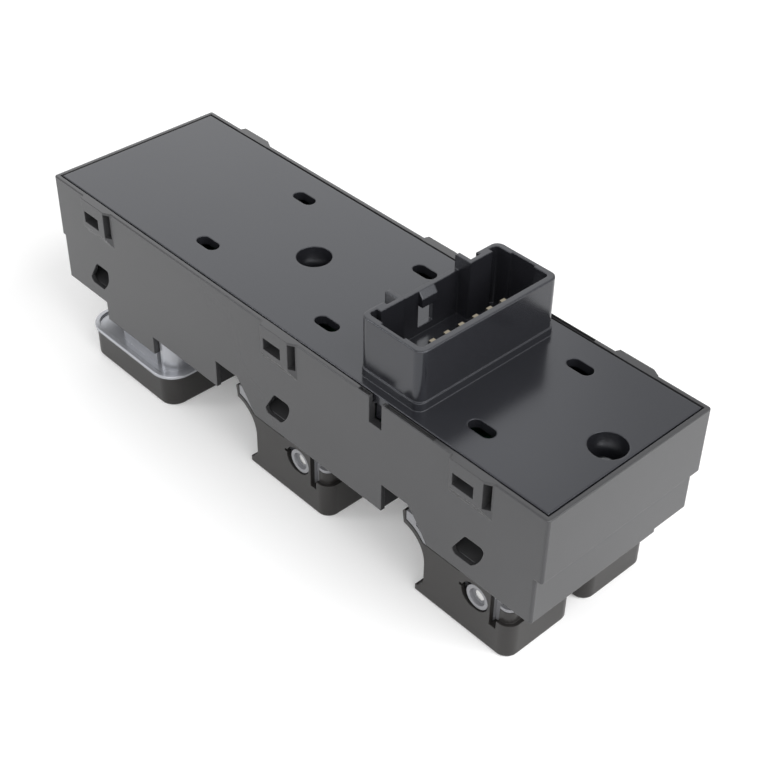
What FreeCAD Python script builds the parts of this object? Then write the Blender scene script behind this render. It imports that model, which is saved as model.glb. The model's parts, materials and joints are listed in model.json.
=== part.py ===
import FreeCAD, Part
import math
import os

# Power window master switch, lying on its control faces with the plug socket on top.
# Millimetres. Z = 0 is the plane of the control faces, X runs along the case and Y across it.
# The origin is under the middle of the case.

V = FreeCAD.Vector

# Case, the upper tier that the back cover closes
case_width = 48.0
case_height = 16.4
case_wall = 1.8
end_wall = 1.55
case_corner = 0.7
rim_round = 0.3
rim_wall = 1.05
deck_thickness = 1.8
deck_drop = 1.0

# Skirt, the lower tier round the controls
skirt_height = 12.2
skirt_wall = 1.1
skirt_left_step = 0.9
skirt_right_step = 1.6
skirt_above_pivot = 7.2
end_notch_height = 0.9
end_notch_start = 13.6

# Bays along the case, from the left end to the right one. The case is as long as they need.
lock_from_left = 25.65
lock_to_first_pivot = 61.95
pivot_spacing = 55.4
end_pivot_from_right = 17.8

# Walls across the skirt at the left of each bay, with the finger notch beside those of the rockers
bay_wall = 1.2
end_bay_wall_from_left = 7.7
bay_wall_from_pivot = 26.6
notch_gap = 0.4
notch_top_above_pivot = 14.6
notch_flat_from_pivot = 18.4
notch_bend_from_pivot = 15.0
notch_bend_above_pivot = 10.6
notch_foot_from_pivot = 12.6

# Latch pads on the long walls, each with a window for a hook of the cover
first_pad_from_left = 12.4
middle_pad_from_pivot = 8.3
end_pad_from_pivot = 6.9
pad_length = 11.2
pad_proud = 1.0
pad_height = 9.5
pad_fade = 2.0
pad_lead = 0.4
pad_tail = 1.9
pad_window_start = 1.3
pad_window_length = 5.6
pad_window_top = 3.2
pad_window_height = 3.0
pad_slot_width = 1.6
pad_slot_top = 0.6
pad_slot_bottom = 7.0
pad_cut_spare = 0.1

# Snap windows in the skirt for the hooks of the door trim, leaning to the right
first_snap_from_left = 10.6
middle_snap_from_pivot = 9.2
end_snap_from_pivot = 6.2
snap_foot = 6.0
snap_lean_left = 4.0
snap_lean_right = 3.2
snap_height = 6.7
snap_top_drop = 18.3
snap_bulge = 0.9
snap_round = 1.1
snap_cut_spare = 0.2

# Slot in the long walls beside the plug socket, and the grooves at each side of it
wall_slot_from_socket_middle = 0.2
wall_slot_width = 3.7
wall_slot_depth = 6.6
groove_width = 0.8
groove_depth = 0.7
left_groove_from_slot = 2.1
left_groove_length = 3.1
right_groove_from_slot = 2.4
right_groove_length = 13.8

# Back cover
cover_thickness = 2.2
cover_gap = 0.4
cover_round = 0.25
left_vent_from_lock = 22.55
middle_vent_from_pivot = 1.6
right_vent_from_pivot = 8.3
vent_y = 14.35
vent_length = 6.5
vent_width = 3.3
tab_thickness = 1.2
tab_clearance = 0.2
tab_length = 5.4
hook_reach = 1.1
hook_height = 2.2

# Cover screws in their wells
left_screw_from_pivot = 19.2
right_screw_from_end = 6.5
screw_radius = 1.5
screw_clearance = 0.3
screw_head_radius = 3.1
screw_head_height = 2.2
screw_length = 6.8
screw_recess_width = 0.9
screw_recess_depth = 1.2
screw_recess_reach = 1.7
well_radius = 4.1
well_wall = 1.1
well_clearance = 0.15
well_floor = 1.6
boss_radius = 2.8
close_fit = 0.02

# Plug socket, moulded with the cover
socket_from_first_pivot = 18.2
socket_length_x = 17.4
socket_center_y = -0.65
socket_width_y = 39.3
socket_height = 14.5
socket_wall = 1.5
socket_corner = 2.0
socket_rim_round = 0.3
socket_left_wall = 1.0
plinth_height = 2.0
plinth_proud = 0.3
key_width = 6.5
key_depth = 1.2
key_notch_width = 2.6
key_notch_depth = 1.0
latch_bay_width = 18.7
latch_bay_wall = 1.2
latch_bay_reach = 2.3
latch_bay_top_drop = 3.4
catch_width = 4.4
catch_reach = 1.2
catch_slope = 1.6
catch_height = 3.6
latch_window_bottom = 1.8
latch_window_height = 6.0
end_recess = 0.5
end_recess_from_corner = 4.2

# Terminal blades
blade_count = 6
blade_pitch = 4.05
blade_width = 2.2
blade_thickness = 0.8
blade_tip_taper = 1.0
blade_tip_width = 1.3
blade_from_socket_left = 11.1
blade_top_drop = 4.9
tail_width = 1.2
tail_below_board = 1.0
header_width_x = 6.0
header_height = 5.4
header_overhang = 2.0
blade_clearance = 0.05

# Circuit board
board_thickness = 1.6
board_gap_above_deck = 5.2
board_edge_gap = 1.3
board_ledge = 2.6

# Rockers, two pairs of the same moulding
rocker_width = 19.7
rocker_spacing = 4.2
face_to_pivot = 11.6
rocker_tilt_degrees = 7.0
cap_wall = 1.2
cap_floor = 1.5
cap_skin = 0.9
cap_nose_past_neck = 6.8
cap_nose_top = 9.6
cap_nose_foot = 0.4
cap_nose_round = 0.8
cap_neck = 15.1
cap_neck_foot = 3.5
cap_lip = 17.5
cap_lip_height = 2.0
cap_lip_bend = 0.6
cap_lip_rise = 1.3
cap_tail = 9.5
cap_tail_corner = 3.0
cap_face_round = 0.8
cap_side_top = 3.9
cap_tail_top = 0.9
cap_arm_left = 5.0
cap_arm_right = 3.9
cap_arm_top = 8.4
scoop_radius = 7.6
scoop_center_drop = 1.6
tail_step_drop = 2.2
tail_step_inset = 0.9
tail_step_corner = 2.0
relief_slot_width = 1.9
relief_slot_bottom = 4.5
hub_hole_radius = 3.3
hub_hole_shift = 0.9
hub_notch_reach = 4.9
hub_notch_bottom = 0.3
hub_notch_top = 1.1

# Rocker carrier, the light inner moulding
carrier_fit = 0.05
carrier_wall = 1.5
carrier_floor = 1.6
lining = 1.2
nose_top_run = 3.9
nose_top_round = 0.8
flange_thickness = 0.8
flange_inset = 0.15
carrier_arm_top = 7.4
carrier_gap_left = 4.6
carrier_gap_below = 2.6
carrier_gap_above = 2.4
hub_radius = 3.0
hub_recess_radius = 2.1
hub_recess_depth = 1.0
hub_sink = 0.3
hub_inner_gap = 0.3
pin_radius = 1.25
pin_sink = 0.8
pin_fit = 0.05
lever_length = 21.9
lever_root_sink = 1.0
lever_root_half = 2.6
lever_neck_half = 1.15
lever_neck_below_tip = 4.5
lever_tip_radius = 1.6
lever_slot_clearance = 0.4

# Pivot tower under the deck, with the detent cam between its ears
tower_half_width = 5.7
ear_gap_half = 3.0
tower_top_half = 5.0
ear_radius = 3.2
cam_slope_degrees = 25.0
cam_clearance = 0.05

# Detent plunger and its spring in the carrier
detent_tube_radius = 2.7
detent_bore_radius = 1.8
detent_tube_top = 3.0
plunger_radius = 1.7
plunger_reach = 7.5
plunger_length = 8.5
detent_wire_radius = 0.22
detent_coil_radius = 1.3
detent_coil_turns = 6

# Contact sliders on the deck
slider_length = 9.0
slider_width = 6.0
slider_top_above_tip = 1.1
slider_floor_gap = 0.05
slider_fit = 0.1
rail_clearance = 0.15
rail_width = 1.0
rail_height = 2.2
rail_overrun = 1.5
wiper_thickness = 0.3
wiper_width = 4.0
wiper_gap = 0.1
wiper_left = 3.5
wiper_bend = 1.0
wiper_tip = 3.2
wiper_end = 3.8
wiper_split = 0.8
wiper_rise = 0.2

# Springs are wound from short straight stretches of a wire with flat sides
coil_stretches = 20
coil_sides = 8

# Lock button, one wide button across the left end
lock_length = 33.3
lock_width = 49.2
lock_corner = 4.0
lock_cap_height = 8.6
lock_cap_wall = 1.5
lock_cap_floor = 1.6
lock_rim_overhang = 0.9
lock_rim_height = 0.8
lock_rim_lip = 1.2
lock_rim_dish = 0.5
lock_rim_corner = 6.0
lock_rim_round = 0.25
lock_plate_thickness = 1.4
lock_plate_fit = 0.05
lock_stem_reach = 14.9
lock_stem_gap = 0.3
lock_stem_wall = 1.5
lock_stem_corner = 3.5
lock_stem_top_above_skirt = 5.2
lock_travel = 2.5
lock_web_below_stem_top = 6.4
lock_web_thickness = 1.6
lock_tube_radius = 4.0
lock_plunger_radius = 2.4
lock_plunger_top_above_board = 2.0
lock_plunger_chamfer = 0.5
lock_hole_clearance = 0.5
lock_switch_size = 12.0
lock_switch_corner = 1.0
lock_switch_roof = 1.0
lock_wire_radius = 0.4
lock_coil_radius = 4.7
lock_coil_turns = 5
tongue_length = 19.2
tongue_shift = 1.05
tongue_drop = 5.1
tongue_depth = 3.5

# Levels above the plane of the control faces
pivot_z = face_to_pivot
skirt_z = pivot_z + skirt_above_pivot
step_z = skirt_z + skirt_height
top_z = step_z + case_height
deck_bottom = step_z - deck_drop
deck_top = deck_bottom + deck_thickness
ledge_z = top_z - cover_thickness
board_bottom = deck_top + board_gap_above_deck
board_top = board_bottom + board_thickness
socket_top = top_z + socket_height

# Places along and across the case
case_length = lock_from_left + lock_to_first_pivot + pivot_spacing + end_pivot_from_right
case_right = case_length / 2
case_left = -case_right
case_side = case_width / 2
skirt_left = case_left + skirt_left_step
skirt_right = case_right - skirt_right_step
inner_side = case_side - case_wall
skirt_side = case_side - skirt_wall
rim_side = case_side - rim_wall
cover_side = rim_side - cover_gap
cover_left = case_left + rim_wall + cover_gap
cover_right = case_right - rim_wall - cover_gap
pivot_xs = (case_right - end_pivot_from_right - pivot_spacing, case_right - end_pivot_from_right)
rocker_y = (rocker_width + rocker_spacing) / 2
rocker_half = rocker_width / 2
tilt = math.radians(rocker_tilt_degrees)
lock_x = case_left + lock_from_left
screw_xs = (pivot_xs[0] - left_screw_from_pivot, case_right - right_screw_from_end)
pad_starts = (case_left + first_pad_from_left, pivot_xs[0] - middle_pad_from_pivot, pivot_xs[1] - end_pad_from_pivot)
snap_starts = (case_left + first_snap_from_left, pivot_xs[0] - middle_snap_from_pivot,
               pivot_xs[1] - end_snap_from_pivot)
vent_xs = (lock_x + left_vent_from_lock, pivot_xs[0] + middle_vent_from_pivot, pivot_xs[1] - right_vent_from_pivot)
socket_left_x = pivot_xs[0] + socket_from_first_pivot
socket_right_x = socket_left_x + socket_length_x
blade_x = socket_left_x + blade_from_socket_left
wall_slot_x = (socket_left_x + socket_right_x) / 2 + wall_slot_from_socket_middle
socket_near = socket_center_y - socket_width_y / 2
socket_far = socket_center_y + socket_width_y / 2
lock_stem_side = skirt_side - lock_stem_gap
lock_stem_right = lock_x + lock_stem_reach
lock_stem_top = skirt_z + lock_stem_top_above_skirt
tongue_x = lock_x + tongue_shift - tongue_length / 2
tongue_right = tongue_x + tongue_length
lock_stem_left = tongue_x + skirt_wall + lock_stem_gap
tongue_inner = case_side - tongue_depth
cap_nose_reach = cap_neck + cap_nose_past_neck
nose_back = cap_nose_reach - cap_skin
carrier_top = cap_side_top + flange_thickness
lock_web_top = lock_stem_top - lock_web_below_stem_top
lock_switch_height = lock_plunger_top_above_board + lock_travel + lock_switch_roof + lock_hole_clearance

# The share of a radius between a round corner and the middle of its arc
corner_share = 1 - math.sqrt(0.5)

# Past this distance a cutting tool runs clear of what it cuts
clear = 5.0


def block(x0, x1, y0, y1, z0, z1):
    return Part.makeBox(x1 - x0, y1 - y0, z1 - z0, V(x0, y0, z0))


def post(radius, x, y, z0, z1):
    return Part.makeCylinder(radius, z1 - z0, V(x, y, z0), V(0, 0, 1))


def axle(radius, x, z, y0, y1):
    return Part.makeCylinder(radius, y1 - y0, V(x, y0, z), V(0, 1, 0))


def fuse_all(shapes):
    return shapes[0].multiFuse(shapes[1:]).removeSplitter()


def mirrored(shape):
    return shape.mirror(V(0, 0, 0), V(0, 1, 0))


def both_sides(shape):
    return [shape, mirrored(shape)]


def upright_edges(shape):
    return [edge for edge in shape.Edges if edge.Length > 0 and abs(edge.BoundBox.ZLength - edge.Length) < 1e-6]


def level_edges(shape, z):
    return [edge for edge in shape.Edges if abs(edge.BoundBox.ZMin - z) + abs(edge.BoundBox.ZMax - z) < 1e-4]


def rounded_block(x0, x1, y0, y1, z0, z1, radius):
    shape = block(x0, x1, y0, y1, z0, z1)
    return shape.makeFillet(radius, upright_edges(shape))


def outline_face(start, steps, place):
    """A closed face. Each step is an end point, or a middle and an end point for an arc."""
    edges = []
    here = place(*start)
    for step in list(steps) + [(start,)]:
        end = place(*step[-1])
        if len(step) == 2:
            edges.append(Part.Arc(here, place(*step[0]), end).toShape())
        elif end.distanceToPoint(here) > 1e-7:
            edges.append(Part.LineSegment(here, end).toShape())
        here = end
    return Part.Face(Part.Wire(edges))


def side_prism(start, steps, y0, y1):
    """An outline in X and Z, carried across from y0 to y1."""
    return outline_face(start, steps, lambda x, z: V(x, y0, z)).extrude(V(0, y1 - y0, 0))


def plan_prism(start, steps, z0, z1):
    """An outline in X and Y, carried up from z0 to z1."""
    return outline_face(start, steps, lambda x, y: V(x, y, z0)).extrude(V(0, 0, z1 - z0))


def end_prism(start, steps, x0, x1):
    """An outline in Y and Z, carried along from x0 to x1."""
    return outline_face(start, steps, lambda y, z: V(x0, y, z)).extrude(V(x1 - x0, 0, 0))


def wire_section(wire_radius, coil_radius, rise, turn, z):
    """The flat-sided section of a spring's wire, square to the wire at this turn."""
    outward = V(math.cos(turn), math.sin(turn), 0)
    along = V(-coil_radius * math.sin(turn), coil_radius * math.cos(turn), rise)
    along.normalize()
    up = outward.cross(along)
    corners = []
    for index in range(coil_sides):
        angle = 2 * math.pi * index / coil_sides
        corners.append(outward * (coil_radius + wire_radius * math.cos(angle))
                       + up * (wire_radius * math.sin(angle)) + V(0, 0, z))
    return Part.makePolygon(corners + corners[:1])


def coil(wire_radius, coil_radius, turns, x, y, z0, z1):
    """An open coil spring whose wire just reaches z0 and z1."""
    height = z1 - z0 - 2 * wire_radius
    rise = height / (2 * math.pi * turns)
    count = turns * coil_stretches
    sections = []
    for index in range(count + 1):
        turn = 2 * math.pi * index / coil_stretches
        sections.append(wire_section(wire_radius, coil_radius, rise, turn, height * index / count))
    spring = Part.makeLoft(sections, True, True)
    spring.translate(V(x, y, z0 + wire_radius))
    return spring


def stadium(x, y, length, width, z0, z1):
    """A straight slot with round ends, along X."""
    reach = (length - width) / 2
    radius = width / 2
    middle = block(x - reach, x + reach, y - radius, y + radius, z0, z1)
    return fuse_all([middle, post(radius, x - reach, y, z0, z1), post(radius, x + reach, y, z0, z1)])


def case_shell():
    """Both tiers with their hollows, the ledge for the cover and the deck between the tiers."""
    case = rounded_block(case_left, case_right, -case_side, case_side, step_z, top_z, case_corner)
    case = case.makeFillet(rim_round, level_edges(case, top_z))
    skirt = rounded_block(skirt_left, skirt_right, -case_side, case_side, skirt_z, step_z, case_corner)
    shell = case.fuse(skirt)
    inside = block(case_left + end_wall, case_right - end_wall, -inner_side, inner_side, deck_top, ledge_z)
    recess = block(case_left + rim_wall, case_right - rim_wall, -rim_side, rim_side, ledge_z, top_z + clear)
    under = block(skirt_left + skirt_wall, skirt_right - skirt_wall, -skirt_side, skirt_side,
                  skirt_z - clear, deck_bottom)
    end_notch = block(skirt_right - clear, skirt_right + clear, end_notch_start, case_side + clear,
                      skirt_z - clear, skirt_z + end_notch_height)
    return shell.cut(inside).cut(recess).cut(under).cut(end_notch)


def cross_walls():
    """The walls across the skirt at the left of the button's bay and of each rocker bay."""
    rights = [pivot_x - bay_wall_from_pivot for pivot_x in pivot_xs] + [case_left + end_bay_wall_from_left + bay_wall]
    return [block(right - bay_wall, right, -skirt_side, skirt_side, skirt_z, deck_bottom) for right in rights]


def board_ledges():
    """The steps at both ends of the case that the circuit board rests on."""
    left = case_left + end_wall
    right = case_right - end_wall
    return [block(left, left + board_ledge, -inner_side, inner_side, deck_top, board_bottom),
            block(right - board_ledge, right, -inner_side, inner_side, deck_top, board_bottom)]


def tongue():
    """The near guide tongue of the lock button: a plate with a return at each end."""
    bottom = skirt_z - tongue_drop
    plate = block(tongue_x, tongue_right, -case_side, -skirt_side, bottom, deck_bottom)
    left_return = block(tongue_x, tongue_x + skirt_wall, -case_side, -tongue_inner, bottom, deck_bottom)
    right_return = block(tongue_right - skirt_wall, tongue_right, -case_side, -tongue_inner, bottom, deck_bottom)
    return fuse_all([plate, left_return, right_return])


def latch_pad(start):
    """One raised pad on the near wall, fading into the wall below."""
    bottom = top_z - pad_height
    face = -case_side - pad_proud
    plan = plan_prism((start, -case_side + skirt_wall),
                      [((start, -case_side),), ((start + pad_lead, face),),
                       ((start + pad_length - pad_tail, face),), ((start + pad_length, -case_side),),
                       ((start + pad_length, -case_side + skirt_wall),)], bottom, top_z)
    side = end_prism((-case_side + skirt_wall, bottom),
                     [((-case_side, bottom),), ((face, bottom + pad_fade),), ((face, top_z),),
                      ((-case_side + skirt_wall, top_z),)], start - clear, start + pad_length + clear)
    return plan.common(side)


def pad_cuts(start):
    """The hook window and the slot at the slanted end of a pad."""
    outer = -case_side - clear
    window_top = top_z - pad_window_top
    inner = -inner_side + pad_cut_spare
    window = block(start + pad_window_start, start + pad_window_start + pad_window_length, outer, inner,
                   window_top - pad_window_height, window_top)
    slot_left = start + pad_length - pad_tail
    slot = block(slot_left, slot_left + pad_slot_width, outer, inner, top_z - pad_slot_bottom, top_z - pad_slot_top)
    return [window, slot]


def snap_window(left):
    """A window in the near skirt wall that leans to the right, with a bulging right side."""
    top = top_z - snap_top_drop
    bottom = top - snap_height
    foot = left + snap_foot
    middle = (foot + foot + snap_lean_right) / 2 + snap_bulge
    shape = side_prism((left, bottom),
                       [((foot, bottom),), ((middle, (bottom + top) / 2), (foot + snap_lean_right, top)),
                        ((left + snap_lean_left, top),)], -case_side - clear, -skirt_side + snap_cut_spare)
    edges = [edge for edge in shape.Edges if abs(edge.BoundBox.YLength - edge.Length) < 1e-6]
    return shape.makeFillet(snap_round, edges)


def finger_notch(pivot_x):
    """The cut under a rocker nose, square at the bay wall and curved at the other side."""
    left = pivot_x - bay_wall_from_pivot + notch_gap
    top = pivot_z + notch_top_above_pivot
    foot = pivot_x - notch_foot_from_pivot
    bend = (pivot_x - notch_bend_from_pivot, pivot_z + notch_bend_above_pivot)
    return side_prism((left, skirt_z - clear),
                      [((left, top),), ((pivot_x - notch_flat_from_pivot, top),), (bend, (foot, skirt_z)),
                       ((foot, skirt_z - clear),)], -case_side - clear, case_side + clear)


def wall_slot():
    """The slot in the near wall beside the socket, and the grooves beside it."""
    reach = wall_slot_width / 2
    slot = block(wall_slot_x - reach, wall_slot_x + reach, -case_side - clear, -inner_side,
                 top_z - wall_slot_depth, top_z + clear)
    near = -case_side + groove_width / 4
    right = wall_slot_x + right_groove_from_slot
    left = wall_slot_x - left_groove_from_slot
    right_groove = block(right, right + right_groove_length, near, near + groove_width, top_z - groove_depth,
                         top_z + clear)
    left_groove = block(left - left_groove_length, left, near, near + groove_width, top_z - groove_depth,
                        top_z + clear)
    return [slot, right_groove, left_groove]


def pivot_tower(pivot_x):
    """The block that hangs from the deck over a near rocker: two ears with the detent cam between them."""
    foot = pivot_z - ear_radius
    tower = side_prism((pivot_x - tower_top_half, deck_bottom),
                       [((pivot_x - ear_radius, pivot_z),),
                        ((pivot_x, foot), (pivot_x + ear_radius, pivot_z)),
                        ((pivot_x + tower_top_half, deck_bottom),)],
                       -rocker_y - tower_half_width, -rocker_y + tower_half_width)
    slope = math.radians(cam_slope_degrees)
    tip_center = plunger_reach - plunger_radius
    touch = plunger_radius + cam_clearance
    flank_x = tip_center * math.sin(tilt) + touch * math.sin(slope)
    flank_z = tip_center * math.cos(tilt) + touch * math.cos(slope)
    apex_z = pivot_z + flank_z + flank_x * math.tan(slope)
    reach = tower_top_half + clear
    gap = side_prism((pivot_x, apex_z),
                     [((pivot_x + reach, apex_z - reach * math.tan(slope)),), ((pivot_x + reach, foot - clear),),
                      ((pivot_x - reach, foot - clear),), ((pivot_x - reach, apex_z - reach * math.tan(slope)),)],
                     -rocker_y - ear_gap_half, -rocker_y + ear_gap_half)
    bore = axle(pin_radius + close_fit, pivot_x, pivot_z, -rocker_y - rocker_half, -rocker_y + rocker_half)
    return tower.cut(gap).cut(bore)


def lever_y():
    """The middle of a near lever, which rises from the carrier's plate at the spine."""
    return -rocker_y + rocker_half - cap_wall - carrier_fit - carrier_wall / 2


def lever_slot(pivot_x):
    """The slot in the deck that a lever passes through."""
    half = lever_tip_radius + (deck_top - pivot_z) * math.sin(tilt) + lever_slot_clearance
    side = carrier_wall / 2 + lever_slot_clearance
    return block(pivot_x - half, pivot_x + half, lever_y() - side, lever_y() + side,
                 deck_bottom - clear, deck_top + clear)


def slider_rails(pivot_x):
    """The rails on the deck at each side of a near slider."""
    reach = slider_length / 2 + lever_length * tilt + rail_overrun
    outer = slider_width / 2 + rail_clearance
    left_rail = block(pivot_x - reach, pivot_x + reach, lever_y() - outer - rail_width, lever_y() - outer,
                      deck_top, deck_top + rail_height)
    middle_rail = block(pivot_x - reach, pivot_x + reach, lever_y() + outer, 0, deck_top, deck_top + rail_height)
    return [left_rail, middle_rail]


def housing():
    shape = case_shell()
    added = board_ledges() + cross_walls() + both_sides(tongue())
    for start in pad_starts:
        added += both_sides(latch_pad(start))
    for pivot_x in pivot_xs:
        added += both_sides(pivot_tower(pivot_x))
        for rail in slider_rails(pivot_x):
            added += both_sides(rail)
    for x in screw_xs:
        added.append(post(boss_radius, x, 0, deck_top, board_bottom))
    shape = shape.multiFuse(added)
    cuts = wall_slot() + [mirrored(cut) for cut in wall_slot()]
    for start in pad_starts:
        for cut in pad_cuts(start):
            cuts += both_sides(cut)
    for start in snap_starts:
        cuts += both_sides(snap_window(start))
    for pivot_x in pivot_xs:
        cuts.append(finger_notch(pivot_x))
        cuts += both_sides(lever_slot(pivot_x))
    for x in screw_xs:
        cuts.append(post(screw_radius + close_fit, x, 0, deck_top, board_bottom + clear))
    cuts.append(post(lock_tube_radius + lock_hole_clearance, lock_x, 0, deck_bottom - clear, deck_top + clear))
    for cut in cuts:
        shape = shape.cut(cut)
    return shape.removeSplitter()


def cover_tab(start, length):
    """A tab of the cover against the near wall, with its hook."""
    outer = -inner_side + tab_clearance
    top = top_z - pad_window_top - tab_clearance
    tab = block(start, start + length, outer, outer + tab_thickness, top - pad_window_height, ledge_z + tab_clearance)
    hook = end_prism((outer, top), [((outer - hook_reach, top),), ((outer, top - hook_height),)],
                     start, start + length)
    return tab.fuse(hook)


def bay_ends():
    """The near and far inner faces of the latch bay."""
    return socket_center_y - latch_bay_width / 2, socket_center_y + latch_bay_width / 2


def socket_walls():
    """The outside of the plug socket with its latch bay, its plinth and the notches beside the bay."""
    outer = rounded_block(socket_left_x, socket_right_x, socket_near, socket_far, ledge_z, socket_top, socket_corner)
    near, far = bay_ends()
    bay = block(socket_left_x - latch_bay_reach, socket_left_x + socket_wall, near - latch_bay_wall,
                far + latch_bay_wall, ledge_z, socket_top)
    shape = outer.fuse(bay)
    for start in (near - latch_bay_wall - key_notch_width, far + latch_bay_wall):
        shape = shape.cut(block(socket_left_x - clear, socket_left_x + key_notch_depth, start,
                                start + key_notch_width, top_z, socket_top + clear))
    shape = shape.removeSplitter()
    shape = shape.makeFillet(socket_rim_round, level_edges(shape, socket_top))
    plinth = rounded_block(socket_left_x, socket_right_x + plinth_proud, socket_near - plinth_proud,
                           socket_far + plinth_proud, ledge_z, top_z + plinth_height, socket_corner)
    return shape.fuse(plinth)


def socket_hollow():
    """The space inside the socket, with a key at each side of the bay for the plug's latch."""
    inner_left = socket_left_x + socket_left_wall
    inner_right = socket_right_x - socket_wall
    near = socket_near + socket_wall
    far = socket_far - socket_wall
    hollow = rounded_block(inner_left, inner_right, near, far, top_z, socket_top + clear, socket_corner / 2)
    recess = block(inner_left + end_recess_from_corner, inner_right - end_recess_from_corner,
                   near - end_recess, far + end_recess, top_z, socket_top + clear)
    hollow = hollow.fuse(recess)
    bay_near, bay_far = bay_ends()
    for key_near in (bay_near - key_width, bay_far):
        key = block(inner_left - clear, inner_left + key_depth, key_near, key_near + key_width,
                    top_z - clear, socket_top + 2 * clear)
        hollow = hollow.cut(key)
    bay_left = socket_left_x - latch_bay_reach + latch_bay_wall
    bay = block(bay_left, inner_left + key_depth, bay_near, bay_far, top_z, socket_top + clear)
    return hollow.fuse(bay)


def latch_cuts():
    """The lowered outer wall of the latch bay and the window under the catch."""
    bay_left = socket_left_x - latch_bay_reach
    near, far = bay_ends()
    low = block(bay_left - clear, bay_left + latch_bay_wall, near, far, socket_top - latch_bay_top_drop,
                socket_top + clear)
    window = block(bay_left - clear, bay_left + latch_bay_wall, socket_center_y - catch_width / 2,
                   socket_center_y + catch_width / 2, top_z + latch_window_bottom,
                   top_z + latch_window_bottom + latch_window_height)
    return [low, window]


def latch_catch():
    """The wedge that the plug's latch snaps under."""
    wall = socket_left_x - latch_bay_reach + latch_bay_wall
    root = wall - latch_bay_wall / 2
    top = socket_top - latch_bay_top_drop
    return side_prism((root, top),
                      [((wall, top),), ((wall + catch_reach, top - catch_slope),),
                       ((wall + catch_reach, top - catch_height),), ((root, top - catch_height),)],
                      socket_center_y - catch_width / 2, socket_center_y + catch_width / 2)


def blade_ys():
    first = socket_center_y - blade_pitch * (blade_count - 1) / 2
    return [first + blade_pitch * index for index in range(blade_count)]


def back_cover():
    plate = block(cover_left, cover_right, -cover_side, cover_side, ledge_z, top_z)
    plate = plate.makeFillet(cover_round, level_edges(plate, top_z))
    parts = [plate, socket_walls()]
    inside_end = case_right - end_wall - well_clearance
    beyond_end = block(inside_end, inside_end + clear, -case_side, case_side, board_top - clear, ledge_z)
    for x in screw_xs:
        parts.append(post(well_radius + well_wall, x, 0, board_top, ledge_z).cut(beyond_end))
    for start in pad_starts:
        tab_start = start + pad_window_start + (pad_window_length - tab_length) / 2
        parts += both_sides(cover_tab(tab_start, tab_length))
    slot_tab = block(wall_slot_x - wall_slot_width / 2, wall_slot_x + wall_slot_width / 2,
                     -inner_side + tab_clearance, -inner_side + tab_clearance + tab_thickness,
                     top_z - wall_slot_depth, ledge_z)
    parts += both_sides(slot_tab)
    cover = fuse_all(parts)
    cuts = [socket_hollow()] + latch_cuts()
    for x in screw_xs:
        cuts.append(post(well_radius, x, 0, board_top + well_floor, top_z + clear))
        cuts.append(post(screw_radius + screw_clearance, x, 0, board_top - clear, top_z))
    for x in vent_xs:
        cuts += both_sides(stadium(x, -vent_y, vent_length, vent_width, ledge_z - clear, top_z + clear))
    for y in blade_ys():
        cuts.append(blade(y, blade_clearance))
    for cut in cuts:
        cover = cover.cut(cut)
    return cover.fuse(latch_catch()).removeSplitter()


def blade(y, extra):
    """One terminal, wide above the board and narrow where it is soldered. Extra makes it the cut for itself."""
    half = blade_width / 2 + extra
    tip = blade_tip_width / 2 + extra
    top = socket_top - blade_top_drop + extra
    tail = tail_width / 2 + extra
    bottom = board_bottom - tail_below_board - extra
    return end_prism((y - half, board_top - extra),
                     [((y - half, top - blade_tip_taper),), ((y - tip, top),), ((y + tip, top),),
                      ((y + half, top - blade_tip_taper),), ((y + half, board_top - extra),),
                      ((y + tail, board_top - extra),), ((y + tail, bottom),), ((y - tail, bottom),),
                      ((y - tail, board_top - extra),)],
                     blade_x - blade_thickness / 2 - extra, blade_x + blade_thickness / 2 + extra)


def terminal_pins():
    return Part.makeCompound([blade(y, 0) for y in blade_ys()])


def pin_header():
    """The block on the board that holds the terminals in line."""
    ys = blade_ys()
    side = blade_width / 2 + header_overhang
    shape = block(blade_x - header_width_x / 2, blade_x + header_width_x / 2, ys[0] - side, ys[-1] + side,
                  board_top, board_top + header_height)
    for y in ys:
        shape = shape.cut(blade(y, close_fit))
    return shape


def circuit_board():
    edge_x = end_wall + board_edge_gap
    shape = block(case_left + edge_x, case_right - edge_x,
                  -inner_side + board_edge_gap, inner_side - board_edge_gap, board_bottom, board_top)
    for x in screw_xs:
        shape = shape.cut(post(screw_radius + screw_clearance, x, 0, board_bottom - clear, board_top + clear))
    for y in blade_ys():
        shape = shape.cut(blade(y, close_fit))
    hole = lock_plunger_radius + lock_hole_clearance
    return shape.cut(post(hole, lock_x, 0, board_bottom - clear, board_top + clear))


def cover_screw(x):
    """A pan-head screw with a cross recess."""
    seat = board_top + well_floor
    top = seat + screw_head_height
    head = post(screw_head_radius, x, 0, seat, top)
    head = head.makeFillet(screw_head_height / 2, level_edges(head, top))
    shank = post(screw_radius, x, 0, seat - screw_length, seat)
    half = screw_recess_width / 2
    reach = screw_recess_reach
    recess = block(x - reach, x + reach, -half, half, top - screw_recess_depth, top + clear)
    recess = recess.fuse(block(x - half, x + half, -reach, reach, top - screw_recess_depth, top + clear))
    return head.fuse(shank).cut(recess).removeSplitter()


def cover_screws():
    return Part.makeCompound([cover_screw(x) for x in screw_xs])


def pivot_pins():
    """Two stub pins for each rocker, pressed into the ears of its tower."""
    pins = []
    for pivot_x in pivot_xs:
        for outward in (-1, 1):
            inner = -rocker_y + outward * ear_gap_half
            outer = -rocker_y + outward * (rocker_half - hub_sink - pin_sink)
            pins += both_sides(axle(pin_radius, pivot_x, pivot_z, min(inner, outer), max(inner, outer)))
    return Part.makeCompound(pins)


def scoop_point(pivot_x, radius, height):
    """The point of a circle round the scoop's centre at a height above the pivot."""
    rise = height + scoop_center_drop
    center = -cap_neck - scoop_radius
    return (pivot_x + center + math.sqrt(radius * radius - rise * rise), pivot_z + height)


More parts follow.
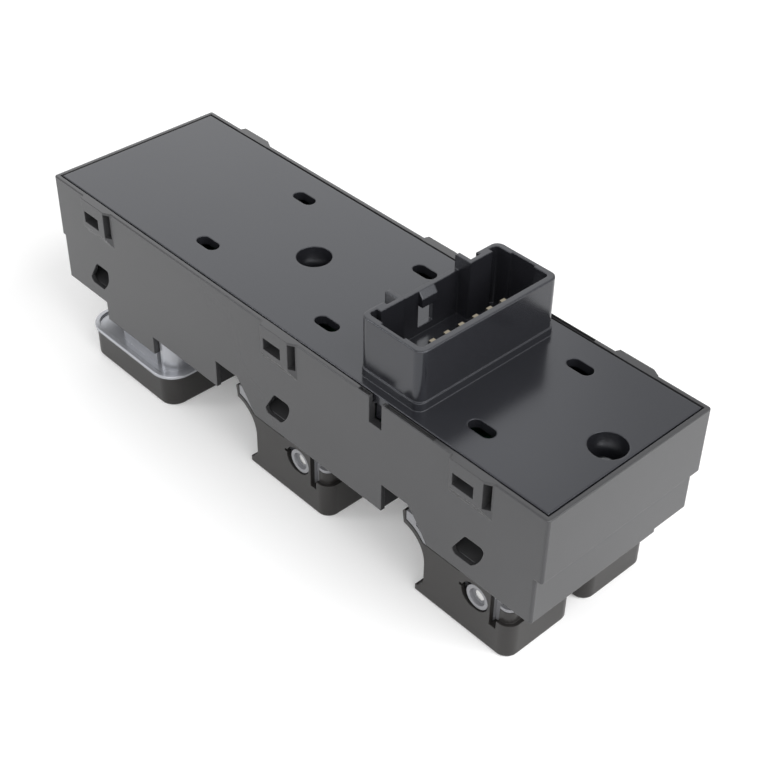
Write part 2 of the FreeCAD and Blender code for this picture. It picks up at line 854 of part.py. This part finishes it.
def scoop_height(radius, reach):
    """The height above the pivot where a circle round the scoop's centre is this far left of the pivot."""
    run = cap_neck + scoop_radius - reach
    return math.sqrt(radius * radius - run * run) - scoop_center_drop


def cap_outside(pivot_x):
    """The cap as a full block: nose, scoop, lip, face, tail and the raised arm at the pivot."""
    face = pivot_z - face_to_pivot
    skin = scoop_radius + cap_wall
    nose_left = pivot_x - cap_nose_reach
    nose_top = pivot_z + cap_nose_top
    foot = cap_nose_reach - cap_nose_foot
    back = (pivot_x - nose_back, pivot_z + scoop_height(skin, nose_back))
    side_top = pivot_z + cap_side_top
    tail_top = pivot_z + cap_tail_top
    arm_top = pivot_z + cap_arm_top
    lip = pivot_x - cap_lip
    lip_top = face + cap_lip_height
    tail = pivot_x + cap_tail
    bend = cap_nose_round * corner_share
    middle_height = (cap_side_top + scoop_height(skin, nose_back)) / 2
    block_shape = side_prism(
        back,
        [((pivot_x - nose_back, nose_top),),
         ((nose_left + cap_nose_round, nose_top),),
         ((nose_left + bend, nose_top - bend), (nose_left, nose_top - cap_nose_round)),
         ((pivot_x - foot, pivot_z + scoop_height(scoop_radius, foot)),),
         (scoop_point(pivot_x, scoop_radius, cap_side_top), scoop_point(pivot_x, scoop_radius, -scoop_center_drop)),
         ((pivot_x - cap_neck, lip_top + cap_neck_foot),),
         ((pivot_x - cap_neck - cap_lip_bend, lip_top + cap_lip_rise), (lip, lip_top)),
         ((lip, face),), ((tail, face),), ((tail, tail_top),),
         ((pivot_x + cap_arm_right, tail_top),),
         ((pivot_x + cap_arm_right, arm_top),),
         ((pivot_x - cap_arm_left, arm_top),),
         ((pivot_x - cap_arm_left, side_top),),
         (scoop_point(pivot_x, skin, cap_side_top),),
         (scoop_point(pivot_x, skin, middle_height), back)],
        -rocker_y - rocker_half, -rocker_y + rocker_half)
    corners = [edge for edge in upright_edges(block_shape) if edge.BoundBox.XMin > tail - 1e-6]
    block_shape = block_shape.makeFillet(cap_tail_corner, corners)
    return block_shape.makeFillet(cap_face_round, level_edges(block_shape, face))


def tail_step(pivot_x):
    """What is cut away round the tail so that its upper part stands back from the lower."""
    step = pivot_z - tail_step_drop
    left = pivot_x + cap_arm_right
    around = block(left, pivot_x + cap_tail + clear, -rocker_y - rocker_half - clear, -rocker_y + rocker_half + clear,
                   step, pivot_z + cap_arm_top)
    kept = rounded_block(left - clear, pivot_x + cap_tail - tail_step_inset,
                         -rocker_y - rocker_half + tail_step_inset, -rocker_y + rocker_half - tail_step_inset,
                         step - clear, pivot_z + cap_arm_top + clear, tail_step_corner)
    return around.cut(kept)


def cap_inside(pivot_x):
    """The hollow of the cap, open towards the housing."""
    floor = pivot_z - face_to_pivot + cap_floor
    skin = scoop_radius + cap_wall
    side = rocker_half - cap_wall
    top = pivot_z + cap_arm_top + clear
    wide = side_prism((pivot_x - nose_back, pivot_z + scoop_height(skin, nose_back)),
                      [(scoop_point(pivot_x, skin, cap_side_top), scoop_point(pivot_x, skin, -scoop_center_drop)),
                       ((pivot_x - cap_neck + cap_wall, floor),), ((pivot_x + cap_arm_right, floor),),
                       ((pivot_x + cap_arm_right, top),), ((pivot_x - nose_back, top),)],
                      -rocker_y - side, -rocker_y + side)
    thick = cap_wall + tail_step_inset
    narrow = block(pivot_x, pivot_x + cap_tail - thick, -rocker_y - rocker_half + thick,
                   -rocker_y + rocker_half - thick, floor, top)
    return wide.fuse(narrow)


def hub_hole(pivot_x):
    """The hole for a hub through both side walls of a cap, wider and pointed on the left."""
    near = -rocker_y - rocker_half - clear
    far = -rocker_y + rocker_half + clear
    shifted = axle(hub_hole_radius, pivot_x - hub_hole_shift, pivot_z, near, far)
    notch = block(pivot_x - hub_notch_reach, pivot_x, near, far, pivot_z + hub_notch_bottom, pivot_z + hub_notch_top)
    return axle(hub_hole_radius, pivot_x, pivot_z, near, far).multiFuse([shifted, notch])


def relief_slot(pivot_x):
    """The slots through the side walls at the right of the pivot arms."""
    left = pivot_x + cap_arm_right
    return block(left, left + relief_slot_width, -rocker_y - rocker_half - clear, -rocker_y + rocker_half + clear,
                 pivot_z - relief_slot_bottom, pivot_z + cap_arm_top + clear)


def rocker_cap(pivot_x):
    shape = cap_outside(pivot_x)
    for cut in (tail_step(pivot_x), cap_inside(pivot_x), hub_hole(pivot_x), relief_slot(pivot_x)):
        shape = shape.cut(cut)
    return shape.removeSplitter()


def carrier_nose(pivot_x):
    """The part of the carrier that shows: the nose tip behind the cap's skin and the flange on its side walls."""
    outer = scoop_radius + cap_wall + carrier_fit
    inner = outer + lining
    back = nose_back - carrier_fit
    front = cap_nose_reach - nose_top_run
    nose_top = pivot_z + cap_nose_top
    bend = nose_top_round * corner_share
    side = rocker_half - flange_inset
    outer_height = (cap_side_top + scoop_height(outer, back)) / 2
    inner_height = (carrier_top + scoop_height(inner, front)) / 2
    behind_skin = (pivot_x - back, pivot_z + scoop_height(outer, back))
    return side_prism(scoop_point(pivot_x, outer, cap_side_top),
                      [(scoop_point(pivot_x, outer, outer_height), behind_skin),
                       ((pivot_x - back, nose_top),), ((pivot_x - front - nose_top_round, nose_top),),
                       ((pivot_x - front - bend, nose_top - bend), (pivot_x - front, nose_top - nose_top_round)),
                       ((pivot_x - front, pivot_z + scoop_height(inner, front)),),
                       (scoop_point(pivot_x, inner, inner_height), scoop_point(pivot_x, inner, carrier_top)),
                       ((pivot_x - cap_arm_left - carrier_fit, pivot_z + carrier_top),),
                       ((pivot_x - cap_arm_left - carrier_fit, pivot_z + cap_side_top),)],
                      -rocker_y - side, -rocker_y + side)


def carrier_tray(pivot_x):
    """The wide part of the carrier: floor, side plates and the lining of the finger scoop."""
    outer = scoop_radius + cap_wall + carrier_fit
    inner = outer + lining
    floor = pivot_z - face_to_pivot + cap_floor
    right = pivot_x + cap_arm_right - carrier_fit
    left = pivot_x - cap_neck + cap_wall + carrier_fit
    side = rocker_half - cap_wall - carrier_fit
    top = pivot_z + carrier_top
    arm_top = pivot_z + carrier_arm_top
    arm_left = pivot_x - cap_arm_left
    start = scoop_point(pivot_x, inner, carrier_top)
    solid = side_prism(scoop_point(pivot_x, outer, carrier_top),
                       [(scoop_point(pivot_x, outer, 0), scoop_point(pivot_x, outer, -scoop_center_drop)),
                        ((left, floor),), ((right, floor),), ((right, arm_top),), ((arm_left, arm_top),),
                        ((arm_left, top),)], -rocker_y - side, -rocker_y + side)
    hollow = side_prism(start,
                        [(scoop_point(pivot_x, inner, 0), scoop_point(pivot_x, inner, -scoop_center_drop)),
                         ((left + lining, floor + carrier_floor),), ((right + clear, floor + carrier_floor),),
                         ((right + clear, arm_top + clear),), ((start[0], arm_top + clear),)],
                        -rocker_y - side + carrier_wall, -rocker_y + side - carrier_wall)
    return solid.fuse(carrier_nose(pivot_x)).cut(hollow)


def carrier_tail(pivot_x):
    """The narrow part of the carrier in the tail of the cap, with the flange that shows on top of it."""
    floor = pivot_z - face_to_pivot + cap_floor
    flange_z = pivot_z + cap_tail_top
    top = flange_z + flange_thickness
    inset = cap_wall + tail_step_inset + carrier_fit
    right = pivot_x + cap_tail - inset
    side = rocker_half - inset
    left = pivot_x + carrier_wall
    tail = block(left, right, -rocker_y - side, -rocker_y + side, floor, top)
    edge = tail_step_inset + carrier_fit
    flange = rounded_block(left, pivot_x + cap_tail - edge, -rocker_y - rocker_half + edge,
                           -rocker_y + rocker_half - edge, flange_z, top, tail_step_corner)
    flange = flange.cut(block(left - clear, pivot_x + cap_arm_right + relief_slot_width, -rocker_y - rocker_half,
                              -rocker_y + rocker_half, flange_z - clear, top + clear))
    hollow = block(left - clear, right - carrier_wall, -rocker_y - side + carrier_wall,
                   -rocker_y + side - carrier_wall, floor + carrier_floor, top + clear)
    return tail.fuse(flange).cut(hollow)


def carrier_hubs(pivot_x):
    """The two hubs that turn on the stub pins and show in the holes of the cap."""
    inner = tower_half_width + hub_inner_gap
    outer = rocker_half - hub_sink
    hubs = []
    for outward in (-1, 1):
        ends = sorted((-rocker_y + outward * inner, -rocker_y + outward * outer))
        hub = axle(hub_radius, pivot_x, pivot_z, ends[0], ends[1])
        sunk = sorted((-rocker_y + outward * (outer - hub_recess_depth), -rocker_y + outward * (outer + clear)))
        hubs.append(hub.cut(axle(hub_recess_radius, pivot_x, pivot_z, sunk[0], sunk[1])))
    return hubs


def lever(pivot_x):
    """The long lever that carries the rocker's movement through the deck to the slider."""
    near = lever_y() - carrier_wall / 2
    far = lever_y() + carrier_wall / 2
    tip_z = pivot_z + lever_length
    root_z = pivot_z + carrier_arm_top - lever_root_sink
    neck_z = tip_z - lever_neck_below_tip
    arm = side_prism((pivot_x - lever_root_half, root_z),
                     [((pivot_x + lever_root_half, root_z),), ((pivot_x + lever_neck_half, neck_z),),
                      ((pivot_x + lever_neck_half, tip_z),), ((pivot_x - lever_neck_half, tip_z),),
                      ((pivot_x - lever_neck_half, neck_z),)], near, far)
    return arm.fuse(axle(lever_tip_radius, pivot_x, tip_z, near, far))


def rocker_carrier(pivot_x):
    floor = pivot_z - face_to_pivot + cap_floor
    plates = carrier_tray(pivot_x).fuse(carrier_tail(pivot_x))
    gap = block(pivot_x - carrier_gap_left, pivot_x, -rocker_y - rocker_half, -rocker_y + rocker_half,
                pivot_z - carrier_gap_below, pivot_z + carrier_gap_above)
    tube = post(detent_tube_radius, pivot_x, -rocker_y, floor, pivot_z + detent_tube_top)
    shape = plates.cut(gap).multiFuse(carrier_hubs(pivot_x) + [tube, lever(pivot_x)])
    shape = shape.cut(post(detent_bore_radius, pivot_x, -rocker_y, floor + carrier_floor, pivot_z + clear))
    for outward in (-1, 1):
        ends = sorted((-rocker_y + outward * ear_gap_half, -rocker_y + outward * (rocker_half + clear)))
        shape = shape.cut(axle(pin_radius + pin_fit, pivot_x, pivot_z, ends[0], ends[1]))
    return shape.removeSplitter()


def detent_plunger(pivot_x):
    """The round-nosed plunger that presses on the cam of the tower."""
    tip = pivot_z + plunger_reach
    shape = post(plunger_radius, pivot_x, -rocker_y, tip - plunger_length, tip - plunger_radius)
    return shape.fuse(Part.makeSphere(plunger_radius, V(pivot_x, -rocker_y, tip - plunger_radius))).removeSplitter()


def detent_spring(pivot_x):
    bottom = pivot_z - face_to_pivot + cap_floor + carrier_floor
    return coil(detent_wire_radius, detent_coil_radius, detent_coil_turns, pivot_x, -rocker_y,
                bottom, pivot_z + plunger_reach - plunger_length)


def contact_slider(pivot_x):
    """The block that the lever pushes along the deck."""
    tip_z = pivot_z + lever_length
    bottom = deck_top + slider_floor_gap
    pocket_top = tip_z + lever_tip_radius + slider_fit
    top = pocket_top + slider_top_above_tip
    half = slider_width / 2
    shape = block(pivot_x - slider_length / 2, pivot_x + slider_length / 2, lever_y() - half, lever_y() + half,
                  bottom, top)
    pocket_side = carrier_wall / 2 + lever_slot_clearance
    pocket_half = lever_tip_radius + slider_fit
    pocket = block(pivot_x - pocket_half, pivot_x + pocket_half, lever_y() - pocket_side, lever_y() + pocket_side,
                   bottom - clear, pocket_top)
    return shape.cut(pocket)


def wiper_contact(pivot_x):
    """The bent brass contact on a slider: a flat base and two fingers that reach for the board."""
    base = pivot_z + lever_length + lever_tip_radius + slider_fit + slider_top_above_tip
    top = board_bottom - wiper_gap
    near = lever_y() - wiper_width / 2
    strip = side_prism((pivot_x - wiper_left, base),
                       [((pivot_x + wiper_bend, base),), ((pivot_x + wiper_tip, top - wiper_thickness),),
                        ((pivot_x + wiper_end, top - wiper_thickness),), ((pivot_x + wiper_end, top),),
                        ((pivot_x + wiper_tip - wiper_rise, top),),
                        ((pivot_x + wiper_bend - wiper_rise, base + wiper_thickness),),
                        ((pivot_x - wiper_left, base + wiper_thickness),)], near, near + wiper_width)
    split = block(pivot_x - wiper_bend, pivot_x + clear, lever_y() - wiper_split / 2, lever_y() + wiper_split / 2,
                  base - clear, top + clear)
    return strip.cut(split)


def lock_cap():
    """The dark push button, hollow towards the housing."""
    half = lock_length / 2
    side = lock_width / 2
    shape = rounded_block(lock_x - half, lock_x + half, -side, side, 0, lock_cap_height, lock_corner)
    shape = shape.makeFillet(cap_face_round, level_edges(shape, 0))
    wall = lock_cap_wall
    hollow = rounded_block(lock_x - half + wall, lock_x + half - wall, -side + wall, side - wall,
                           lock_cap_floor, lock_cap_height + clear, lock_corner - wall)
    return shape.cut(hollow)


def stem_outline(inset, z0, z1):
    """The stem of the lock frame in plan, drawn in by the inset, with a channel for each right return."""
    side = lock_stem_side - inset
    shape = rounded_block(lock_stem_left + inset, lock_stem_right - inset, -side, side, z0, z1,
                          lock_stem_corner - inset)
    around = lock_stem_gap + inset
    channel = block(tongue_right - skirt_wall - around, tongue_right + around, -side - clear,
                    -tongue_inner + around, z0 - clear, z1 + clear)
    return shape.cut(channel).cut(mirrored(channel))


def lock_frame():
    """The bright frame of the lock button: dished rim, plate in the cap, stem walls, web and tube."""
    half = lock_length / 2
    side = lock_width / 2
    over = lock_rim_overhang
    rim_top = lock_cap_height + lock_rim_height
    rim = rounded_block(lock_x - half - over, lock_x + half + over, -side - over, side + over, lock_cap_height,
                        rim_top, lock_rim_corner)
    rim = rim.makeFillet(lock_rim_round, level_edges(rim, rim_top))
    inset = lock_rim_lip - over
    dish = rounded_block(lock_x - half + inset, lock_x + half - inset, -side + inset, side - inset,
                         rim_top - lock_rim_dish, rim_top + clear, lock_rim_corner - lock_rim_lip)
    inset = lock_cap_wall + lock_plate_fit
    plate = rounded_block(lock_x - half + inset, lock_x + half - inset, -side + inset, side - inset,
                          lock_cap_height - lock_plate_thickness, lock_cap_height, lock_corner - inset)
    stem = stem_outline(0, lock_cap_height, lock_stem_top)
    hollow = stem_outline(lock_stem_wall, rim_top, lock_stem_top + clear)
    web = stem_outline(lock_stem_wall / 2, lock_web_top - lock_web_thickness, lock_web_top)
    tube = post(lock_tube_radius, lock_x, 0, lock_cap_height, lock_stem_top + lock_web_thickness)
    shape = rim.cut(dish).fuse(stem.cut(hollow)).multiFuse([plate, web, tube])
    bore = post(lock_plunger_radius + close_fit, lock_x, 0, lock_web_top - lock_web_thickness, lock_stem_top + clear)
    return shape.cut(bore).removeSplitter()


def lock_plunger():
    top = board_top + lock_plunger_top_above_board
    shape = post(lock_plunger_radius, lock_x, 0, lock_web_top - lock_web_thickness, top)
    return shape.makeChamfer(lock_plunger_chamfer, level_edges(shape, top))


def lock_spring():
    return coil(lock_wire_radius, lock_coil_radius, lock_coil_turns, lock_x, 0, lock_web_top, deck_bottom)


def lock_switch_body():
    """The push switch on the board that the lock plunger works."""
    half = lock_switch_size / 2
    top = board_top + lock_switch_height
    shape = rounded_block(lock_x - half, lock_x + half, -half, half, board_top, top, lock_switch_corner)
    hole = lock_plunger_radius + lock_hole_clearance
    return shape.cut(post(hole, lock_x, 0, board_top - clear, top - lock_switch_roof))


def save(name, shape):
    shape.exportStep("parts/" + name + ".step")


def main():
    os.makedirs("parts", exist_ok=True)
    save("housing", housing())
    save("back_cover", back_cover())
    save("circuit_board", circuit_board())
    save("pin_header", pin_header())
    save("terminal_pins", terminal_pins())
    save("cover_screws", cover_screws())
    save("pivot_pins", pivot_pins())
    save("lock_switch_body", lock_switch_body())
    save("lock_cap", lock_cap())
    save("lock_frame", lock_frame())
    save("lock_plunger", lock_plunger())
    save("lock_spring", lock_spring())
    makers = {"rocker_cap": rocker_cap, "rocker_carrier": rocker_carrier, "detent_plunger": detent_plunger,
              "detent_spring": detent_spring, "contact_slider": contact_slider, "wiper_contact": wiper_contact}
    for place, pivot_x in zip(("middle", "end"), pivot_xs):
        for name, make in makers.items():
            near = make(pivot_x)
            save(name + "_near_" + place, near)
            save(name + "_far_" + place, mirrored(near))


main()
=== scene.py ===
import json

import bpy
from mathutils import Matrix, Vector


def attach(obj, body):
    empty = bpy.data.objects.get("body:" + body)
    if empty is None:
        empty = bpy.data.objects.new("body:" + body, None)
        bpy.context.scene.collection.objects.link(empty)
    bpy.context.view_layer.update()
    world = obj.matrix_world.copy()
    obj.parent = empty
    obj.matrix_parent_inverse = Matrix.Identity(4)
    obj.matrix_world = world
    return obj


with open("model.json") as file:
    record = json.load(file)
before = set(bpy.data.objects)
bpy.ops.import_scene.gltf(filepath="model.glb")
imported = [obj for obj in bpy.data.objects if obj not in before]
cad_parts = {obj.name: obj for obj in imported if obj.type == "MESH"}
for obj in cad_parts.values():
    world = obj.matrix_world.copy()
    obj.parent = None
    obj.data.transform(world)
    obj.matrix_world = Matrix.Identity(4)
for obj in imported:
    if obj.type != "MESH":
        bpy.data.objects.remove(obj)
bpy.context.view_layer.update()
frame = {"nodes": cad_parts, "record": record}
slot_of = {part["node"]: part["material_slot"] for part in frame["record"]["subparts"]}

MM = 0.001

# Camera, solved from the straight edges of the case in the photograph
CAMERA_AT = Vector((196.42, -175.81, 231.91)) * MM
CAMERA_FORWARD = Vector((-0.56284, 0.53497, -0.63010))
CAMERA_RIGHT = Vector((0.68071, 0.73242, 0.01379))
CAMERA_LENS = 68.5
CAMERA_SENSOR = 36.0
CAMERA_CLIP_START = 0.01

# Colours, linear
CASE_COLOR = (0.0355, 0.0355, 0.0368)
COVER_COLOR = (0.0135, 0.0138, 0.0165)
CAP_COLOR = (0.0200, 0.0186, 0.0178)
CARRIER_COLOR = (0.22, 0.222, 0.235)
SILVER_COLOR = (0.40, 0.41, 0.435)
HEADER_COLOR = (0.012, 0.012, 0.013)
BOARD_COLOR = (0.012, 0.085, 0.035)
# Plating: a brownish tint, darkened far below bright metal so the pin tips look shaded, which is
# painted shade
PLATING_COLOR_WITH_PAINTED_SHADE = (0.17, 0.15, 0.115)
BRASS_COLOR = (0.78, 0.56, 0.25)
STEEL_COLOR = (0.68, 0.68, 0.67)
FLOOR_COLOR = (0.90, 0.90, 0.90)
WHITE = (1.0, 1.0, 1.0)

# Tints of the gloss, a little blue
CASE_TINT = (0.96, 0.97, 1.0)
COVER_TINT = (0.9, 0.93, 1.0)

# Surfaces: noise scales are per metre, distances in metres, edge radii in millimetres
NOISE_SPAN = (0.1, 0.9)
SLOW_DETAIL = 1.0
GRAIN_DETAIL = 3.0
EDGE_SAMPLES = 6
PLASTIC = {"color_share": 0.05, "color_scale": 60.0, "rough_share": 0.1, "rough_scale": 45.0,
           "grain_scale": 2600.0, "grain_distance": 0.00003}
METAL = {"color_share": 0.06, "color_scale": 400.0, "rough_share": 0.2, "rough_scale": 900.0,
         "grain_scale": 1500.0, "grain_distance": 0.00002}
METAL_EDGE = 0.1
METAL_GRAIN = 0.08

# Ledges under the snap windows: spans along the case, and profile as (y, z), in millimetres
LEDGE_SPANS = ((-72.6, -63.45), (-2.6, 7.8), (55.8, 66.2))
LEDGE_PROFILE = ((22.95, 21.2), (22.95, 22.35), (19.6, 23.4), (19.6, 22.25))
LEDGE_FACES = ((0, 1, 2, 3), (7, 6, 5, 4), (0, 4, 5, 1), (1, 5, 6, 2), (2, 6, 7, 3), (3, 7, 4, 0))
LEDGE_EDGE = 0.2
LEDGE_EDGE_SEGMENTS = 2

# Floor, in metres; its glow is painted light, seen only by the camera and in gloss, and it grows
# with the distance from the middle
FLOOR_HALF = 3.0
FLOOR_ROUGHNESS = 0.9
FLOOR_GLOSS = 0.1
FLOOR_GLOW = (0.12, 0.5)
FLOOR_GLOW_REACH = (0.25, 1.1)

# World strength as light on the object, and where it is seen
WORLD_STRENGTH = (0.55, 1.0)

# Lamps in metres and watts: name, place, width and height, power
LAMPS_TOWARDS = Vector((0.0, 0.0, 0.03))
LAMPS = (
    ("key", (0.85, 0.15, 0.75), (1.0, 0.9), 11.2),
    ("fill", (0.55, -0.7, 0.65), (1.0, 0.7), 5.0),
    ("edge", (-0.56, -0.63, 0.56), (0.22, 0.22), 1.2),
    ("back", (-0.75, 0.5, 0.62), (0.7, 0.7), 1.2),
)


def link_to_scene(thing):
    bpy.context.scene.collection.objects.link(thing)
    return thing


def scene_camera():
    forward = CAMERA_FORWARD.normalized()
    right = CAMERA_RIGHT.normalized()
    up = right.cross(forward)
    turn = Matrix((right, up, -forward)).transposed().to_4x4()
    camera = link_to_scene(bpy.data.objects.new("camera", bpy.data.cameras.new("camera")))
    camera.matrix_world = Matrix.Translation(CAMERA_AT) @ turn
    camera.data.lens = CAMERA_LENS
    camera.data.sensor_width = CAMERA_SENSOR
    camera.data.clip_start = CAMERA_CLIP_START
    bpy.context.scene.camera = camera


def new_material(name):
    material = bpy.data.materials.new(name)
    material.use_nodes = True
    nodes = material.node_tree.nodes
    return material, nodes, material.node_tree.links, nodes["Principled BSDF"]


def noise_over(nodes, links, scale, detail):
    """Noise fixed to the object, between zero and one."""
    place = nodes.new("ShaderNodeTexCoord")
    noise = nodes.new("ShaderNodeTexNoise")
    noise.inputs["Scale"].default_value = scale
    noise.inputs["Detail"].default_value = detail
    links.new(place.outputs["Object"], noise.inputs["Vector"])
    return noise.outputs["Fac"]


def spread(nodes, links, value, results, values=(0.0, 1.0)):
    """The value, mapped from the range of values to the range of results."""
    span = nodes.new("ShaderNodeMapRange")
    span.inputs["From Min"].default_value = values[0]
    span.inputs["From Max"].default_value = values[1]
    span.inputs["To Min"].default_value = results[0]
    span.inputs["To Max"].default_value = results[1]
    links.new(value, span.inputs["Value"])
    return span.outputs["Result"]


def math_node(nodes, links, operation, first, second):
    step = nodes.new("ShaderNodeMath")
    step.operation = operation
    links.new(first, step.inputs[0])
    links.new(second, step.inputs[1])
    return step.outputs[0]


def grain(nodes, links, shader, scale, strength, distance, edge):
    """Fine moulded grain as bump, over edges that catch the light as if rounded."""
    bump = nodes.new("ShaderNodeBump")
    bump.inputs["Strength"].default_value = strength
    bump.inputs["Distance"].default_value = distance
    links.new(noise_over(nodes, links, scale, GRAIN_DETAIL), bump.inputs["Height"])
    links.new(bump.outputs["Normal"], shader.inputs["Normal"])
    soft = nodes.new("ShaderNodeBevel")
    soft.samples = EDGE_SAMPLES
    soft.inputs["Radius"].default_value = edge * MM
    links.new(soft.outputs["Normal"], bump.inputs["Normal"])


def mottle(nodes, links, shader, color, share, scale):
    """Slow variation of the colour, by a share of it up and down."""
    ramp = nodes.new("ShaderNodeValToRGB")
    for element, position, factor in zip(ramp.color_ramp.elements, NOISE_SPAN,
                                         (1.0 - share, 1.0 + share)):
        element.position = position
        element.color = (*(part * factor for part in color), 1.0)
    links.new(noise_over(nodes, links, scale, SLOW_DETAIL), ramp.inputs["Fac"])
    links.new(ramp.outputs["Color"], shader.inputs["Base Color"])


def vary_roughness(nodes, links, shader, rough, share, scale):
    """Slow variation of the gloss, by a share of the roughness up and down."""
    noise = noise_over(nodes, links, scale, SLOW_DETAIL)
    limits = (rough * (1.0 - share), rough * (1.0 + share))
    links.new(spread(nodes, links, noise, limits, NOISE_SPAN), shader.inputs["Roughness"])


def surface(name, kind, color, rough, edge, grain_strength):
    """A new material with the slow variation and the grain of its kind, and its shader."""
    material, nodes, links, shader = new_material(name)
    mottle(nodes, links, shader, color, kind["color_share"], kind["color_scale"])
    vary_roughness(nodes, links, shader, rough, kind["rough_share"], kind["rough_scale"])
    grain(nodes, links, shader, kind["grain_scale"], grain_strength, kind["grain_distance"], edge)
    return material, shader


def plastic(name, color, rough, edge=0.25, grain_strength=0.05, gloss=0.5, tint=WHITE,
            metallic=0.0):
    material, shader = surface(name, PLASTIC, color, rough, edge, grain_strength)
    shader.inputs["Specular IOR Level"].default_value = gloss
    shader.inputs["Specular Tint"].default_value = (*tint, 1.0)
    shader.inputs["Metallic"].default_value = metallic
    return material


def metal(name, color, rough):
    material, shader = surface(name, METAL, color, rough, METAL_EDGE, METAL_GRAIN)
    shader.inputs["Metallic"].default_value = 1.0
    return material


def dress(node, material):
    target = frame["nodes"][node]
    target.data.materials.clear()
    target.data.materials.append(material)


def dress_all():
    steel = metal("steel", STEEL_COLOR, rough=0.22)
    looks = {
        "case_plastic": plastic("case_plastic", CASE_COLOR, rough=0.24, tint=CASE_TINT),
        "cover_plastic": plastic("cover_plastic", COVER_COLOR, rough=0.22, edge=0.4, gloss=0.56,
                                 tint=COVER_TINT),
        "cap_plastic": plastic("cap_plastic", CAP_COLOR, rough=0.36, grain_strength=0.08,
                               gloss=0.36),
        "carrier_plastic": plastic("carrier_plastic", CARRIER_COLOR, rough=0.31, edge=0.15),
        "silver_plastic": plastic("silver_plastic", SILVER_COLOR, rough=0.24, metallic=0.5),
        "header_plastic": plastic("header_plastic", HEADER_COLOR, rough=0.4),
        "board": plastic("board_laminate", BOARD_COLOR, rough=0.31, edge=0.05),
        # pin plating in a colour darkened with painted shade
        "pin_plating": metal("plating", PLATING_COLOR_WITH_PAINTED_SHADE, rough=0.22),
        "contact_brass": metal("brass", BRASS_COLOR, rough=0.22),
        "screw_steel": steel,
        "pin_steel": steel,
        "spring_steel": steel,
    }
    for node in frame["nodes"]:
        dress(node, looks[slot_of[node]])


def snap_ledges():
    """Sloping ledges inside the case under its snap windows, near and far side."""
    corners = []
    sides = []
    for start, end in LEDGE_SPANS:
        for side in (-1, 1):
            first = len(corners)
            for x in (start, end):
                corners += [(x * MM, side * y * MM, z * MM) for y, z in LEDGE_PROFILE]
            sides += [tuple(first + corner for corner in face[::side]) for face in LEDGE_FACES]
    mesh = bpy.data.meshes.new("snap_ledges")
    mesh.from_pydata(corners, [], sides)
    ledges = link_to_scene(bpy.data.objects.new("snap_ledges", mesh))
    soft = ledges.modifiers.new("edges", "BEVEL")
    soft.width = LEDGE_EDGE * MM
    soft.segments = LEDGE_EDGE_SEGMENTS
    mesh.materials.append(frame["nodes"]["housing"].data.materials[0])
    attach(ledges, "case")


def when_seen(nodes, links):
    """One where the camera, gloss or glass looks, and zero for light that falls on the object."""
    path = nodes.new("ShaderNodeLightPath")
    seen = path.outputs["Is Camera Ray"]
    for ray in ("Is Glossy Ray", "Is Transmission Ray"):
        seen = math_node(nodes, links, "MAXIMUM", seen, path.outputs[ray])
    return seen


def stage_floor():
    corners = [(side * FLOOR_HALF, end * FLOOR_HALF, 0)
               for side, end in ((-1, -1), (1, -1), (1, 1), (-1, 1))]
    mesh = bpy.data.meshes.new("floor")
    mesh.from_pydata(corners, [], [(0, 1, 2, 3)])
    floor = link_to_scene(bpy.data.objects.new("floor", mesh))
    material, nodes, links, shader = new_material("floor_paper")
    shader.inputs["Base Color"].default_value = (*FLOOR_COLOR, 1.0)
    shader.inputs["Roughness"].default_value = FLOOR_ROUGHNESS
    shader.inputs["Specular IOR Level"].default_value = FLOOR_GLOSS
    shader.inputs["Emission Color"].default_value = (*WHITE, 1.0)
    place = nodes.new("ShaderNodeTexCoord")
    reach = nodes.new("ShaderNodeVectorMath")
    reach.operation = "LENGTH"
    links.new(place.outputs["Object"], reach.inputs[0])
    # Painted light: the floor glows for the camera and in reflections, more the farther it lies
    # from the middle
    glow = spread(nodes, links, reach.outputs["Value"], FLOOR_GLOW, FLOOR_GLOW_REACH)
    painted_floor_glow = math_node(nodes, links, "MULTIPLY", when_seen(nodes, links), glow)
    links.new(painted_floor_glow, shader.inputs["Emission Strength"])
    mesh.materials.append(material)


def area_light(name, at, size, power):
    lamp = bpy.data.lights.new(name, "AREA")
    lamp.shape = "RECTANGLE"
    lamp.size, lamp.size_y = size
    lamp.energy = power
    light = link_to_scene(bpy.data.objects.new(name, lamp))
    light.location = at
    light.rotation_euler = (LAMPS_TOWARDS - Vector(at)).to_track_quat("-Z", "Y").to_euler()


def white_world():
    world = bpy.data.worlds.new("studio")
    world.use_nodes = True
    bpy.context.scene.world = world
    nodes = world.node_tree.nodes
    links = world.node_tree.links
    back = nodes["Background"]
    back.inputs["Color"].default_value = (*WHITE, 1.0)
    seen = when_seen(nodes, links)
    links.new(spread(nodes, links, seen, WORLD_STRENGTH), back.inputs["Strength"])


bpy.context.scene.view_settings.view_transform = "Standard"
scene_camera()
dress_all()
snap_ledges()
stage_floor()
for lamp_values in LAMPS:
    area_light(*lamp_values)
white_world()
